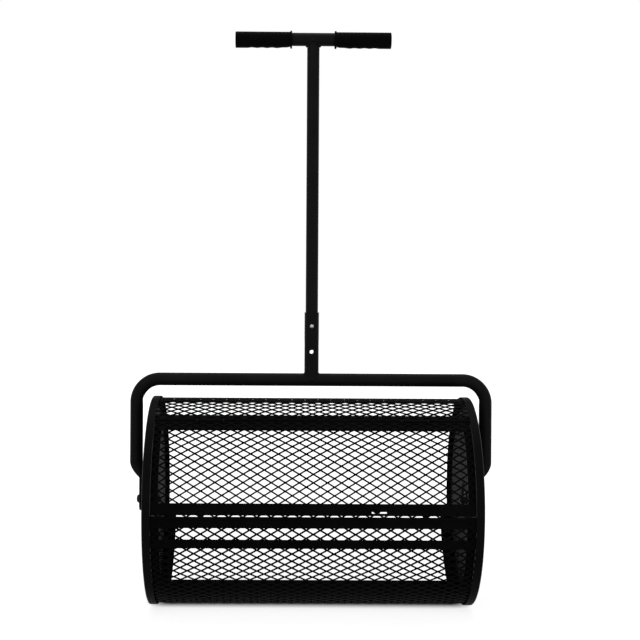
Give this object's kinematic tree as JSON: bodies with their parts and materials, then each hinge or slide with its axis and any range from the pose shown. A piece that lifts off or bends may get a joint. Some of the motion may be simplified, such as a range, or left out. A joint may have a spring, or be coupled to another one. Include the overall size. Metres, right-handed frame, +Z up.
{
  "type": "rolling compost spreader",
  "caption": "Rolling compost spreader: an expanded-mesh drum with a hinged hatch between pan-shaped end caps, turning in a bent tube yoke on a T-handled pole.",
  "frame": {"origin": "on the ground under the middle of the axle", "axes": "+Z up along the pole, +X along the axle, the hatch and the snap button face -Y"},
  "size_m": [0.704, 0.4, 1.1121],
  "materials": {
    "powder_coat": "satin",
    "dark_zinc": "satin",
    "spring_steel": "satin",
    "grip_rubber": "matte",
    "bush_nylon": "matte"
  },
  "bodies": {
    "frame": {"yoke": "powder_coat", "pole_socket": "powder_coat", "pole": "powder_coat", "t_bar": "powder_coat", "snap_spring": "spring_steel", "left_grip": "grip_rubber", "left_axle_bolt": "dark_zinc", "left_head_washer": "dark_zinc", "left_plate_washer": "dark_zinc", "left_spacer": "dark_zinc", "left_inner_washer": "dark_zinc", "left_lock_nut": "dark_zinc", "right_grip": "grip_rubber", "right_axle_bolt": "dark_zinc", "right_head_washer": "dark_zinc", "right_plate_washer": "dark_zinc", "right_spacer": "dark_zinc", "right_inner_washer": "dark_zinc", "right_lock_nut": "dark_zinc"},
    "drum": {"drum_mesh": "powder_coat", "hinge_rail": "powder_coat", "latch_rail": "powder_coat", "front_stiffener": "powder_coat", "seam_plate": "powder_coat", "rear_lower_bar": "powder_coat", "rear_upper_bar": "powder_coat", "top_bar": "powder_coat", "left_end_cap": "powder_coat", "left_rim_strip": "powder_coat", "left_axle_bush": "bush_nylon", "left_drum_barrel": "powder_coat", "left_hinge_pin": "dark_zinc", "left_keeper": "powder_coat", "right_end_cap": "powder_coat", "right_rim_strip": "powder_coat", "right_axle_bush": "bush_nylon", "right_drum_barrel": "powder_coat", "right_hinge_pin": "dark_zinc", "right_keeper": "powder_coat"},
    "door": {"door_mesh": "powder_coat", "door_top_rail": "powder_coat", "door_bottom_rail": "powder_coat", "door_left_bar": "powder_coat", "door_right_bar": "powder_coat", "left_door_barrel": "powder_coat", "left_latch_guide": "powder_coat", "right_door_barrel": "powder_coat", "right_latch_guide": "powder_coat"},
    "latch": {"latch_bar": "dark_zinc", "latch_tab": "dark_zinc", "left_latch_hook": "dark_zinc", "right_latch_hook": "dark_zinc"},
    "snap_button": {"snap_button": "spring_steel", "snap_leaf": "spring_steel"}
  },
  "joints": [
    {"name": "drum_roll", "type": "hinge", "parent": "frame", "child": "drum", "pos_m": [0, 0, 0.2], "axis": [1, 0, 0], "continuous": true},
    {"name": "door_hinge", "type": "hinge", "parent": "drum", "child": "door", "pos_m": [0, -0.11263, 0.36175], "axis": [-1, 0, 0], "range_deg": [0, 150]},
    {"name": "latch_slide", "type": "slide", "parent": "door", "child": "latch", "axis": [1, 0, 0], "range_m": [0, 0.012]},
    {"name": "snap_press", "type": "slide", "parent": "frame", "child": "snap_button", "axis": [0, 1, 0], "range_m": [0, 0.0045], "stiffness_N_per_m": 800, "springref_m": -0.008}
  ]
}
